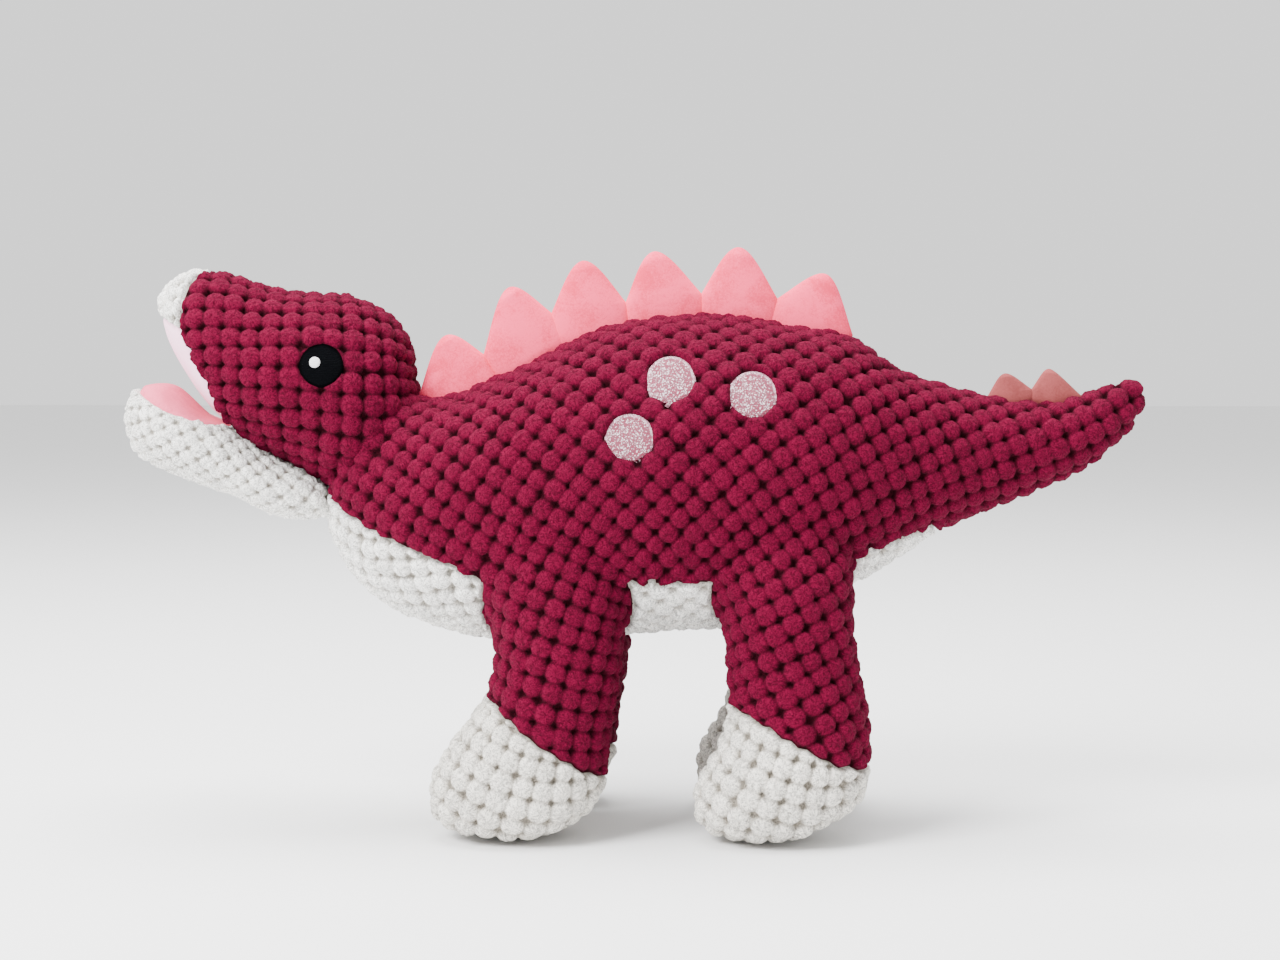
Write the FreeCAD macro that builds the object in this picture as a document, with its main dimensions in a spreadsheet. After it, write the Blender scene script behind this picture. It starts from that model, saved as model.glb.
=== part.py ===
import FreeCAD, Part
import os
from FreeCAD import Placement, Rotation, Vector

# Stuffed dinosaur: a plush stegosaurus standing on four feet.
# Millimetres.  +X towards the tail, the head looks along -X, +Z up, the animal's left is -Y.
# Origin: the middle of the footprint, on the surface the feet stand on.
#
# Every soft piece is a loft through oval stations.  Each station has a middle, two half sizes and
# a lean, all kept in the sheet.  A form is cut into a cloth shell and a stuffing core.

doc = FreeCAD.newDocument("StuffedDinosaur")
sheet = doc.addObject("Spreadsheet::Sheet", "Dims")
next_row = 1
numbers = {}


def dimension(alias, amount):
    """Put one driving dimension in the sheet."""
    global next_row
    sheet.set(f"A{next_row}", alias)
    sheet.set(f"B{next_row}", repr(amount))
    sheet.setAlias(f"B{next_row}", alias)
    numbers[alias] = amount
    next_row += 1


# ---------------------------------------------------------------- general dimensions
dimension("skin", 2.6)            # cloth with its pile, pressed flat
dimension("fill_gap", 0.4)        # looseness between cloth and stuffing
dimension("flank_reach", 120)     # half width of the boxes that split left from right
dimension("patch_height", 1.2)    # stitched spots and eyes stand this far off the cloth
dimension("spot_radius", 8.5)
dimension("eye_radius", 7.5)
dimension("glint_radius", 2.2)

# ---------------------------------------------------------------- stations of each form
# x, z: middle of the oval.  reach: half size along the lean.  side: half size along Y.
# lean: direction of the reach, in degrees up from +X.
STATIONS = {
    "torso": [
        (-98, 143, 21, 20, 45),
        (-86, 128, 27, 26, 48),
        (-72, 113, 38, 35, 62),
        (-52, 111, 45, 42, 80),
        (-31, 115, 51, 45.5, 90),
        (-5, 121.5, 55, 48, 90),
        (23, 124, 56, 48.5, 90),
        (50, 124, 53, 47, 90),
        (72, 127, 46, 42, 90),
        (88, 128, 38, 35, 90),
        (102, 129, 30, 28, 90),
    ],
    "head": [
        (-86, 130, 21, 20, 45),
        (-92, 137, 23.5, 23, 45),
        (-100.5, 148.5, 29.5, 29, 48.4),
        (-118, 159.5, 31, 30.5, 55.5),
        (-135, 165.5, 27, 26, 66.6),
        (-151, 175.5, 20.8, 20, 71.6),
        (-161.5, 183, 12, 11.5, 69),
        (-167, 186, 3.5, 3, 66),
    ],
    "jaw": [
        (-118.6, 121, 3.5, 9, 90),
        (-120.5, 121, 7.0, 15, 90),
        (-124, 121, 10.2, 19.5, 90),
        (-130, 121, 11.9, 21.5, 90),
        (-143, 125, 13.5, 24, 92),
        (-157, 130.5, 14.5, 23.5, 95),
        (-168, 136, 14.5, 19, 98),
        (-176, 140, 10, 11.5, 102),
        (-179.5, 141, 3.5, 4, 104),
    ],
    "tail_base": [
        (88, 128, 37, 34, 90),
        (100, 129.5, 31, 28.5, 90),
        (112, 130.5, 24.5, 23.5, 90),
        (124, 130.5, 20.5, 20, 90),
        (130, 131, 19, 18.5, 90),
    ],
    "tail_tip": [
        (116, 130.5, 21.5, 21, 90),
        (132, 131.5, 18.5, 18, 90),
        (146, 134, 16, 15.5, 90),
        (158, 139, 13.5, 13, 100),
        (168, 145, 10.5, 10, 115),
        (175, 151.5, 7, 6.5, 130),
        (178, 156, 2.5, 2.3, 140),
    ],
    "front_leg": [
        (-38, 0, 22, 16, 0),
        (-38, 3, 27, 20.5, 0),
        (-37.8, 17, 30.6, 23.5, 0),
        (-32, 33, 27, 22.5, 0),
        (-25.5, 48, 22.5, 21.2, 0),
        (-24, 60, 22.6, 20.8, 0),
        (-24, 73, 23, 20.5, 0),
        (-24, 82, 21, 19, 0),
        (-24, 90, 15.2, 14.5, 0),
        (-24, 95.2, 5.5, 5, 0),
    ],
    "rear_leg": [
        (51, 0, 21, 16, 0),
        (51, 3, 26, 20.5, 0),
        (52, 19, 30, 23.5, 0),
        (56, 34, 26.5, 22.5, 0),
        (57, 48, 23.8, 21.2, 0),
        (55, 60, 22.8, 20.8, 0),
        (54, 73, 23, 20.5, 0),
        (54, 82, 21, 19, 0),
        (54, 90, 15.2, 14.5, 0),
        (54, 95.2, 5.5, 5, 0),
    ],
}
STATION_KEYS = ("x", "z", "reach", "side", "lean")
for form_name, stations in STATIONS.items():
    for index, station in enumerate(stations):
        for key, amount in zip(STATION_KEYS, station):
            dimension(f"{form_name}_{index}_{key}", amount)

# ---------------------------------------------------------------- joints
for alias, amount in {
    "hip_z": 73,
    "front_hip_x": -24,
    "rear_hip_x": 54,
    "hip_y": 30,
    "hip_radius": 23,
    "hip_inner_y": 9,
    "hip_swing": 20,
    "hip_clearance": 0.8,
    "neck_x": -92,
    "neck_z": 136.5,
    "neck_lean": 135,
    "neck_ball_radius": 14,
    "neck_half_gap": 15,
    "tail_x": 96,
    "tail_z": 129,
    "tail_half_gap": 13.5,
    "tip_x": 122,
    "tip_z": 130.5,
    "tip_half_gap": 15.5,
    "bend_clearance": 0.8,
    "jaw_x": -130,
    "jaw_z": 121,
    "jaw_radius": 12,
    "jaw_swept_radius": 21.5,
}.items():
    dimension(alias, amount)

# ---------------------------------------------------------------- back and tail plates
# x, z: middle of the base line.  lean: slope of the base line.  length: of the base line.
# peak_along, peak_up: where the tip stands over the middle of the base.  collar: height below
# the notch between two plates.
PLATES = {
    "back_plate_1": (-62.5, 156.2, 13.4, 19.0, -0.2, 15.5, 4.5, 6.5),
    "back_plate_2": (-39.8, 165.6, 24.6, 23.6, 5.5, 22.5, 6.0, 6.5),
    "back_plate_3": (-15.0, 175.6, 20.0, 24.6, 4.8, 22.0, 6.0, 6.5),
    "back_plate_4": (11.2, 182.2, 5.4, 24.0, -1.5, 19.5, 4.0, 6.5),
    "back_plate_5": (37.6, 182.6, -5.4, 24.0, -2.0, 20.3, 4.0, 6.5),
    "back_plate_6": (64.0, 178.2, -9.6, 24.0, 2.0, 15.6, 4.0, 6.5),
    "tail_plate_1": (133.4, 152.9, -4.0, 12.0, -2.6, 6.2, 1.5, 4.0),
    "tail_plate_2": (147.6, 153.2, 7.0, 13.0, -2.6, 6.8, 1.5, 4.0),
}
PLATE_KEYS = ("x", "z", "lean", "length", "peak_along", "peak_up", "collar", "thick")
for plate_name, plate in PLATES.items():
    for key, amount in zip(PLATE_KEYS, plate):
        dimension(f"{plate_name}_{key}", amount)
dimension("plate_tip_length", 6)
dimension("plate_tip_thick", 3)
doc.recompute()


def bind(obj, **rules):
    """Bind properties of an object to the sheet; a dot in a property path is written as __."""
    for path, rule in rules.items():
        obj.setExpression(path.replace("__", "."), rule)


def leaned(angle_alias, base_turn=None):
    """A placement turned about Y so that its X points up from +X by the sheet's angle."""
    turn = Rotation(Vector(0, 1, 0), -numbers[angle_alias])
    if base_turn is not None:
        turn = turn.multiply(base_turn)
    return turn


# ---------------------------------------------------------------- building blocks
def oval(form, index, tag, shrink, centre_y):
    """One station of a form as an ellipse, made smaller by the sheet rule in shrink."""
    key = f"{form}_{index}"
    ring = doc.addObject("Part::Ellipse", f"{key}_{tag}")
    tall = form != "jaw"
    long_side, short_side = ("reach", "side") if tall else ("side", "reach")
    turn = leaned(f"{key}_lean", None if tall else Rotation(Vector(0, 0, 1), 90))
    ring.Placement = Placement(Vector(0, 0, 0), turn)
    bind(
        ring,
        MajorRadius=f"Dims.{key}_{long_side} - {shrink}",
        MinorRadius=f"Dims.{key}_{short_side} - {shrink}",
        Placement__Base__x=f"Dims.{key}_x",
        Placement__Base__y=centre_y,
        Placement__Base__z=f"Dims.{key}_z",
    )
    return ring


def skinned_loft(form, tag, shrink, indices, centre_y="0"):
    """A solid through the chosen stations of a form."""
    solid = doc.addObject("Part::Loft", f"{form}_{tag}")
    solid.Sections = [oval(form, i, tag, shrink, centre_y) for i in indices]
    solid.Solid = True
    solid.Ruled = True
    return solid


def cut(name, base, tool):
    """Base with the tool taken away."""
    result = doc.addObject("Part::Cut", name)
    result.Base, result.Tool = base, tool
    result.Refine = False
    return result


def common(name, base, tool):
    """What base and tool share."""
    result = doc.addObject("Part::Common", name)
    result.Base, result.Tool = base, tool
    result.Refine = False
    return result


def fuse(name, shapes):
    """Several solids joined into one."""
    result = doc.addObject("Part::MultiFuse", name)
    result.Shapes = shapes
    result.Refine = False
    return result


def box(name, length, width, height, placement):
    """A box with its own placement; sizes are sheet rules or plain numbers."""
    block = doc.addObject("Part::Box", name)
    bind(block, Length=str(length), Width=str(width), Height=str(height))
    block.Placement = placement
    return block


def half_space(name, point, direction_degrees):
    """A large block on one side of a plane that stands across the XZ plane.

    The block lies on the side that the direction points to, measured up from +X."""
    turn = Rotation(Vector(0, 1, 0), -direction_degrees)
    corner = Vector(point[0], 0, point[1]) + turn.multVec(Vector(0, -200, -200))
    return box(name, 400, 400, 400, Placement(corner, turn))


def side_block(name, sign):
    """The half of space on the animal's left (-1) or right (+1) of the middle seam."""
    block = doc.addObject("Part::Box", name)
    bind(block, Length="500", Height="500", Width="Dims.flank_reach")
    block.Placement = Placement(Vector(-250, 0, -50), Rotation())
    bind(block, Placement__Base__y="0" if sign > 0 else "-Dims.flank_reach")
    return block


def bend_cone(name, x_alias, z_alias, degrees, gap_alias):
    """The room one side of a bend may fill: a wide cone with its point near the bend's middle.

    The direction is measured up from +X.  The cone leaves half of the bend's gap free."""
    cone = doc.addObject("Part::Cone", name)
    turn = Rotation(Vector(0, 1, 0), 90 - degrees)
    cone.Placement = Placement(Vector(0, 0, 0), turn)
    away = turn.multVec(Vector(0, 0, 1))
    bind(
        cone,
        Radius1="0 mm",
        Height="260 mm",
        Radius2=f"260 mm / tan(Dims.{gap_alias} * 1 deg)",
        Placement__Base__x=f"Dims.{x_alias} + {away.x:.6f} * Dims.bend_clearance",
        Placement__Base__z=f"Dims.{z_alias} + {away.z:.6f} * Dims.bend_clearance",
    )
    return cone


def cross_cylinder(name, radius, x, y, z, length):
    """A cylinder that lies along +Y from its start point."""
    rod = doc.addObject("Part::Cylinder", name)
    rod.Placement = Placement(Vector(0, 0, 0), Rotation(Vector(1, 0, 0), -90))
    bind(
        rod,
        Radius=radius,
        Height=length,
        Placement__Base__x=x,
        Placement__Base__y=y,
        Placement__Base__z=z,
    )
    return rod


def finish(name, obj):
    """Mark a document object as one sub-part of the dinosaur."""
    obj.Label = name
    nodes[name] = obj
    return obj


nodes = {}
SKIN = "Dims.skin"
CORE = "(Dims.skin + Dims.fill_gap)"


def three_layers(form, inner_indices, centre_y="0", tag=""):
    """The outside of a form, the inside of its cloth, and its stuffing."""
    every = range(len(STATIONS[form]))
    outer = skinned_loft(form, f"outside{tag}", "0", every, centre_y)
    inner = skinned_loft(form, f"lining{tag}", SKIN, inner_indices, centre_y)
    core = skinned_loft(form, f"fill{tag}", CORE, inner_indices, centre_y)
    return outer, inner, core


def panel(name, solid, lining, within=(), without=(), trim=None):
    """A cloth panel: a piece of a solid between the given blocks, then hollowed by its lining.

    A trim takes the room for the joints away last."""
    for number, tool in enumerate(without):
        solid = cut(f"{name}_less_{number}", solid, tool)
    for number, tool in enumerate(within):
        solid = common(f"{name}_within_{number}", solid, tool)
    cloth = cut(f"{name}_cloth", solid, lining)
    return finish(name, trim(name, cloth) if trim else cloth)


# ---------------------------------------------------------------- hips
# The leg swings about a sideways line at the crease under the body.  Its top is round about that
# line, and the body is hollowed for it and for the column of the leg at both ends of the swing.
def hip_room(leg, sign):
    """The space one leg sweeps inside the body."""
    hip_x = f"Dims.{leg}_hip_x"
    edge = "(Dims.hip_radius + Dims.hip_clearance)"
    near_y = "Dims.hip_inner_y" if sign > 0 else "-(Dims.hip_inner_y + 80)"
    label = f"{leg}_{'right' if sign > 0 else 'left'}"
    shapes = [cross_cylinder(f"{label}_room", edge, hip_x, near_y, "Dims.hip_z", "80")]
    for turn in (-1, 0, 1):
        angle = turn * numbers["hip_swing"]
        swing = Rotation(Vector(0, 1, 0), angle)
        block = doc.addObject("Part::Box", f"{label}_sweep_{turn + 1}")
        bind(block, Length=f"2 * {edge}", Width="80", Height="70")
        radius = numbers["hip_radius"] + numbers["hip_clearance"]
        shift = swing.multVec(Vector(-radius, 0, -70))
        block.Placement = Placement(Vector(0, 0, 0), swing)
        bind(
            block,
            Placement__Base__x=f"{hip_x} + {shift.x:.6f}",
            Placement__Base__y=near_y,
            Placement__Base__z=f"Dims.hip_z + {shift.z:.6f}",
        )
        shapes.append(block)
    return fuse(f"{label}_hip_room", shapes)


hip_rooms = [hip_room(leg, sign) for leg in ("front", "rear") for sign in (-1, 1)]


# ---------------------------------------------------------------- neck stuffing
neck_ball = doc.addObject("Part::Sphere", "neck_ball")
bind(
    neck_ball,
    Radius="Dims.neck_ball_radius",
    Placement__Base__x="Dims.neck_x",
    Placement__Base__z="Dims.neck_z",
)
finish("neck_stuffing", neck_ball)
neck_socket = doc.addObject("Part::Sphere", "neck_socket")
bind(
    neck_socket,
    Radius="Dims.neck_ball_radius + Dims.bend_clearance",
    Placement__Base__x="Dims.neck_x",
    Placement__Base__z="Dims.neck_z",
)

# ---------------------------------------------------------------- torso
# Two magenta side panels meet on the back, a white panel closes the belly and throat.
torso_outer, torso_inner, torso_core = three_layers("torso", range(len(STATIONS["torso"])))
torso_front_cone = bend_cone("torso_front_cone", "neck_x", "neck_z", -45, "neck_half_gap")
torso_rear_cone = bend_cone("torso_rear_cone", "tail_x", "tail_z", 180, "tail_half_gap")


def trimmed_torso(name, solid):
    """A torso layer with the room for legs, neck and tail taken away."""
    step = common(f"{name}_behind_neck", solid, torso_front_cone)
    step = common(f"{name}_before_tail", step, torso_rear_cone)
    for number, room in enumerate(hip_rooms):
        step = cut(f"{name}_with_hip_{number}", step, room)
    return cut(f"{name}_with_socket", step, neck_socket)


torso_trim = trimmed_torso("torso_trim", torso_outer)
finish("torso_stuffing", trimmed_torso("torso_fill_trim", torso_core))

# The belly seam drops from the throat to the legs and rises again under the tail.
belly_blocks = [
    half_space("under_throat_seam", (-80, 98.5), -129),
    half_space("under_flank_seam", (0, 85.5), -90),
    half_space("under_tail_seam", (85, 91), -58),
]
belly_side = fuse("below_belly_seam", belly_blocks)
panel("belly_panel", torso_trim, torso_inner, within=[belly_side])
left_half = side_block("left_half", -1)
right_half = side_block("right_half", 1)
halves = {"left": left_half, "right": right_half}
for side, half in halves.items():
    panel(f"side_panel_{side}", torso_trim, torso_inner, within=[half], without=[belly_side])

# Three round spots are stitched on each flank.
SPOTS = ((13, 156), (43, 151), (-1, 136))
torso_over = skinned_loft("torso", "over", "-Dims.patch_height", range(len(STATIONS["torso"])))
torso_patch_layer = cut("torso_patch_layer", torso_over, torso_outer)
for number, (x, z) in enumerate(SPOTS, 1):
    dimension(f"spot_{number}_x", x)
    dimension(f"spot_{number}_z", z)
doc.recompute()
for side, start in (("left", "-80"), ("right", "5")):
    for number in range(1, len(SPOTS) + 1):
        key = f"spot_{number}"
        disc = cross_cylinder(
            f"{key}_{side}_disc", "Dims.spot_radius", f"Dims.{key}_x", start, f"Dims.{key}_z", "75"
        )
        spot = common(f"{key}_{side}", torso_patch_layer, disc)
        finish(f"spot_{side}_{number}", spot)

# ---------------------------------------------------------------- head
# Two magenta halves, a white muzzle and lip in front, and the pale lining of the upper mouth.
head_closed = range(len(STATIONS["head"]) - 1)
head_outer, head_inner, head_core = three_layers("head", head_closed)
head_cone = bend_cone("head_cone", "neck_x", "neck_z", 135, "neck_half_gap")
jaw_sweep = cross_cylinder(
    "jaw_sweep", "Dims.jaw_swept_radius", "Dims.jaw_x", "-60", "Dims.jaw_z", "120"
)


def trimmed_head(name, solid):
    """A head layer with the room for the neck ball and the jaw taken away."""
    step = common(f"{name}_before_neck", solid, head_cone)
    step = cut(f"{name}_with_socket", step, neck_socket)
    return cut(f"{name}_over_jaw", step, jaw_sweep)


finish("head_stuffing", trimmed_head("head_fill_trim", head_core))
mouth_side = half_space("mouth_side", (-148, 157), 216)
muzzle_side = half_space("muzzle_side", (-149, 180), 170)
panel("palate_lining", head_outer, head_inner, within=[mouth_side], trim=trimmed_head)
panel("muzzle_patch", head_outer, head_inner, within=[muzzle_side], without=[mouth_side])
for side, half in halves.items():
    panel(
        f"head_side_{side}", head_outer, head_inner, within=[half],
        without=[mouth_side, muzzle_side], trim=trimmed_head,
    )

# The eyes are flat embroidery with a small white glint on each.
dimension("eye_x", -110)
dimension("eye_z", 161)
dimension("glint_x", -111.8)
dimension("glint_z", 161.8)
doc.recompute()
every_head = range(len(STATIONS["head"]))
head_over = skinned_loft("head", "over", "-Dims.patch_height", every_head)
head_glint_over = skinned_loft("head", "glint_over", "-(Dims.patch_height + 0.6)", every_head)
eye_layer = cut("eye_layer", head_over, head_outer)
glint_layer = cut("glint_layer", head_glint_over, head_over)
for side, start in (("left", "-50"), ("right", "5")):
    disc = cross_cylinder(
        f"eye_{side}_disc", "Dims.eye_radius", "Dims.eye_x", start, "Dims.eye_z", "45"
    )
    finish(f"eye_{side}", common(f"eye_{side}_cloth", eye_layer, disc))
    dot = cross_cylinder(
        f"glint_{side}_disc", "Dims.glint_radius", "Dims.glint_x", start, "Dims.glint_z", "45"
    )
    finish(f"eye_glint_{side}", common(f"glint_{side}_cloth", glint_layer, dot))

# ---------------------------------------------------------------- jaw
# The jaw bends about a sideways line, and its rear end is round about that line.
jaw_outer, jaw_inner, jaw_core = three_layers("jaw", range(1, len(STATIONS["jaw"]) - 1))
finish("jaw_stuffing", jaw_core)
tongue_side = half_space("tongue_side", (-150, 134.5), 112)
panel("tongue_lining", jaw_outer, jaw_inner, within=[tongue_side])
panel("jaw_cover", jaw_outer, jaw_inner, without=[tongue_side])


# ---------------------------------------------------------------- legs
# Each leg has an outer and an inner magenta half, a white foot and its own stuffing.
FOOT_SEAMS = {"front": ((-27, 34), -126), "rear": ((58, 38), -108)}
for leg in ("front", "rear"):
    for side, sign in (("left", -1), ("right", 1)):
        form = f"{leg}_leg"
        tag = f"_{side}"
        middle_y = f"{sign} * Dims.hip_y"
        count = len(STATIONS[form])
        layers = three_layers(form, range(1, count - 1), middle_y, tag)
        finish(f"{form}_{side}_stuffing", layers[2])
        seam_point, seam_direction = FOOT_SEAMS[leg]
        foot_side = half_space(f"{form}_foot_side{tag}", seam_point, seam_direction)
        split = box(
            f"{form}_outer_side{tag}", 300, 100, 200, Placement(Vector(-150, 0, -50), Rotation())
        )
        bind(split, Placement__Base__y=middle_y if sign > 0 else f"{middle_y} - 100")
        name = f"{form}_{side}"
        panel(f"{name}_foot", layers[0], layers[1], within=[foot_side])
        panel(f"{name}_outer", layers[0], layers[1], within=[split], without=[foot_side])
        panel(f"{name}_inner", layers[0], layers[1], without=[foot_side, split])


# ---------------------------------------------------------------- tail
# The tail bends sideways at its root and up and down at its middle.
tail_layers = three_layers("tail_base", range(len(STATIONS["tail_base"])))
base_front_cone = bend_cone("base_front_cone", "tail_x", "tail_z", 0, "tail_half_gap")
base_rear_cone = bend_cone("base_rear_cone", "tip_x", "tip_z", 180, "tip_half_gap")


def trimmed_tail_base(name, solid):
    """A layer of the tail root with the room for both bends taken away."""
    step = common(f"{name}_behind", solid, base_front_cone)
    return common(f"{name}_before", step, base_rear_cone)


base_trim = trimmed_tail_base("tail_base_trim", tail_layers[0])
finish("tail_base_stuffing", trimmed_tail_base("tail_base_fill_trim", tail_layers[2]))
for side, half in halves.items():
    panel(f"tail_base_{side}", base_trim, tail_layers[1], within=[half])

tip_layers = three_layers("tail_tip", range(len(STATIONS["tail_tip"]) - 1))
tip_front_cone = bend_cone("tip_front_cone", "tip_x", "tip_z", 0, "tip_half_gap")
tip_trim = common("tail_tip_trim", tip_layers[0], tip_front_cone)
finish("tail_tip_stuffing", common("tail_tip_fill_trim", tip_layers[2], tip_front_cone))
for side, half in halves.items():
    panel(f"tail_tip_{side}", tip_trim, tip_layers[1], within=[half])


# ---------------------------------------------------------------- plates
# Padded plates of smooth cloth stand in a row along the back seam, two small ones on the tail.
def plate_solid(name):
    """One plate: a straight collar with a wedge above it that leans to its tip."""
    middle = Vector(numbers[f"{name}_x"], 0, numbers[f"{name}_z"])
    turn = Rotation(Vector(0, 1, 0), -numbers[f"{name}_lean"])
    key = f"Dims.{name}"
    collar = doc.addObject("Part::Box", f"{name}_collar_block")
    start = turn.multVec(
        Vector(-numbers[f"{name}_length"] / 2, -numbers[f"{name}_thick"] / 2, 0)
    )
    collar.Placement = Placement(middle + start, turn)
    bind(collar, Length=f"{key}_length", Width=f"{key}_thick", Height=f"{key}_collar")
    wedge = doc.addObject("Part::Wedge", f"{name}_wedge")
    wedge.Placement = Placement(middle, turn.multiply(Rotation(Vector(1, 0, 0), 90)))
    bind(
        wedge,
        Xmin=f"-{key}_length / 2",
        Xmax=f"{key}_length / 2",
        Ymin=f"{key}_collar",
        Ymax=f"{key}_peak_up",
        Zmin=f"-{key}_thick / 2",
        Zmax=f"{key}_thick / 2",
        X2min=f"{key}_peak_along - Dims.plate_tip_length / 2",
        X2max=f"{key}_peak_along + Dims.plate_tip_length / 2",
        Z2min="-Dims.plate_tip_thick / 2",
        Z2max="Dims.plate_tip_thick / 2",
    )
    return fuse(f"{name}_cloth", [collar, wedge])


for plate_name in PLATES:
    finish(plate_name, plate_solid(plate_name))

# ---------------------------------------------------------------- check and write
doc.recompute()
os.makedirs("parts", exist_ok=True)
for obj in doc.Objects:
    if "Invalid" in obj.State or "Error" in obj.State:
        raise RuntimeError(f"{obj.Name} failed: {obj.State}")
for name, obj in nodes.items():
    shape = obj.Shape
    if shape.isNull() or not shape.isValid() or not shape.Solids:
        raise RuntimeError(f"{name} has no sound solid")
    shape.exportStep(f"parts/{name}.step")
print(f"{len(nodes)} sub-parts written")
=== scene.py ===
import math

import bmesh
import bpy
import numpy as np
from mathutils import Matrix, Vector
from mathutils.bvhtree import BVHTree


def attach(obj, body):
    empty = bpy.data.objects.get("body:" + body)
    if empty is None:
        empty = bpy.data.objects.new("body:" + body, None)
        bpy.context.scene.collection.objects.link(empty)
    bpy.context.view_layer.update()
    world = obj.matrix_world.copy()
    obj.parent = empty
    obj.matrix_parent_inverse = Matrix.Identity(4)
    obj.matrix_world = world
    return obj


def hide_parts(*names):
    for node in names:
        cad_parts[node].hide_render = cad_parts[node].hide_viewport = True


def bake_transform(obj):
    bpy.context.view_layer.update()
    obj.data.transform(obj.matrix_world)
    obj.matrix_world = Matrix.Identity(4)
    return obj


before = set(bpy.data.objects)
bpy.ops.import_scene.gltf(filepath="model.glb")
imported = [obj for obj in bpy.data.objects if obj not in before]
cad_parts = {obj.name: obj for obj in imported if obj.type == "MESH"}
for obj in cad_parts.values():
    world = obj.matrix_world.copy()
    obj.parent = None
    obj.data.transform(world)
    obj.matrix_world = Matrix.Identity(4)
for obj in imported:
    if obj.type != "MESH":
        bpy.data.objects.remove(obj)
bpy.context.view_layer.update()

MM = 0.001

# ======================================================================== the stuffed body
# The trunk, tail and four legs are one sewn bag: two flank panels that run down into the outer
# legs, a white belly panel, and inner leg and foot panels.  It is turned out and stuffed firmly
# with polyester fibre, so it is round everywhere between its seams.


def soft_tube(name, stations, middle_y=0.0, around=40, step=4.0, square=2.0):
    """A closed tube through oval stations (x, z, reach, side, lean), all in mm."""
    table = np.array(stations, dtype=float)
    gaps = np.linalg.norm(np.diff(table[:, :2], axis=0), axis=1)
    way = np.concatenate([[0], np.cumsum(gaps)])
    fine = np.linspace(0, way[-1], max(6, int(way[-1] / step)))
    slopes = np.gradient(table, way, axis=0)
    rows = []
    for w in fine:
        i = min(np.searchsorted(way, w, side="right") - 1, len(way) - 2)
        h = way[i + 1] - way[i]
        t = (w - way[i]) / h
        a, b = 2 * t**3 - 3 * t**2 + 1, t**3 - 2 * t**2 + t
        c, d = -2 * t**3 + 3 * t**2, t**3 - t**2
        rows.append(a * table[i] + b * h * slopes[i] + c * table[i + 1] + d * h * slopes[i + 1])
    turn = np.linspace(0, 2 * math.pi, around, endpoint=False)
    ca, sa = np.cos(turn), np.sin(turn)
    ca = np.sign(ca) * np.abs(ca) ** (2 / square)
    sa = np.sign(sa) * np.abs(sa) ** (2 / square)
    bm = bmesh.new()
    rings = []
    for x, z, reach, side, lean in rows:
        lean = math.radians(lean)
        ring = []
        for c, s in zip(ca, sa):
            point = (x + reach * c * math.cos(lean), middle_y + side * s, z + reach * c * math.sin(lean))
            ring.append(bm.verts.new([v * MM for v in point]))
        rings.append(ring)
    for one, two in zip(rings, rings[1:]):
        for k in range(around):
            bm.faces.new((one[k], one[(k + 1) % around], two[(k + 1) % around], two[k]))
    bm.faces.new(rings[0])
    bm.faces.new(rings[-1])
    bmesh.ops.recalc_face_normals(bm, faces=bm.faces)
    mesh = bpy.data.meshes.new(name)
    bm.to_mesh(mesh)
    bm.free()
    piece = bpy.data.objects.new(name, mesh)
    bpy.context.collection.objects.link(piece)
    return piece


def only(piece):
    """Select one piece and make it the active one."""
    bpy.ops.object.select_all(action="DESELECT")
    piece.select_set(True)
    bpy.context.view_layer.objects.active = piece


def one_bag(name, tubes, voxel, smooth_rounds):
    """Tubes joined into one closed bag of even small squares."""
    only(tubes[0])
    for tube in tubes[1:]:
        tube.select_set(True)
    if len(tubes) > 1:
        bpy.ops.object.join()
    bag = bpy.context.active_object
    bag.name = name
    bag.data.name = name
    remesh = bag.modifiers.new("even squares", "REMESH")
    remesh.mode = "VOXEL"
    remesh.voxel_size = voxel * MM
    bpy.ops.object.modifier_apply(modifier=remesh.name)
    smooth = bag.modifiers.new("round", "SMOOTH")
    smooth.factor = 0.5
    smooth.iterations = smooth_rounds
    bpy.ops.object.modifier_apply(modifier=smooth.name)
    return bag


PILE = 2.4  # mm: the stuffed cloth lies this far inside the tops of its bobbles
TRUNK = [
    (-97, 142, 20, 20, 45),
    (-91.5, 136.5, 23, 23.5, 46),
    (-89.3, 127.2, 29.4, 27, 52.3),
    (-80, 120, 37.8, 33.5, 58.5),
    (-64, 116, 46, 40, 66),
    (-43.5, 115.5, 51.5, 44.5, 76),
    (-16.5, 119.7, 55.5, 47.5, 85),
    (12, 123.8, 56, 48.5, 90),
    (37, 124, 55.5, 47.5, 90),
    (58, 125, 51, 44.5, 90),
    (76, 128.2, 44.5, 39, 90),
    (92, 127.5, 34.5, 31.5, 90),
    (106, 129.5, 27, 25.5, 90),
    (118, 130.5, 22.5, 21.5, 90),
    (130, 131.4, 19.4, 18.5, 90),
    (142, 133.5, 16.6, 16, 90),
    (154, 137.5, 14, 13.6, 97),
    (165, 143, 11.4, 11, 110),
    (172.5, 149.5, 8.6, 8.2, 125),
    (176.5, 154.5, 5.2, 5.0, 138),
]
FRONT_LEG = [
    (-38, 3.2, 23, 17, 0),
    (-38, 4.5, 26.5, 20, 0),
    (-38, 9, 30, 23, 0),
    (-37.8, 17, 31.4, 24, 0),
    (-34, 31, 28.5, 23.5, 0),
    (-27, 46, 23.6, 22, 0),
    (-24, 60, 23, 21.3, 0),
    (-24, 76, 23.5, 21, 0),
    (-24, 92, 24, 19, 0),
    (-24, 108, 18, 13, 0),
]
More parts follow.
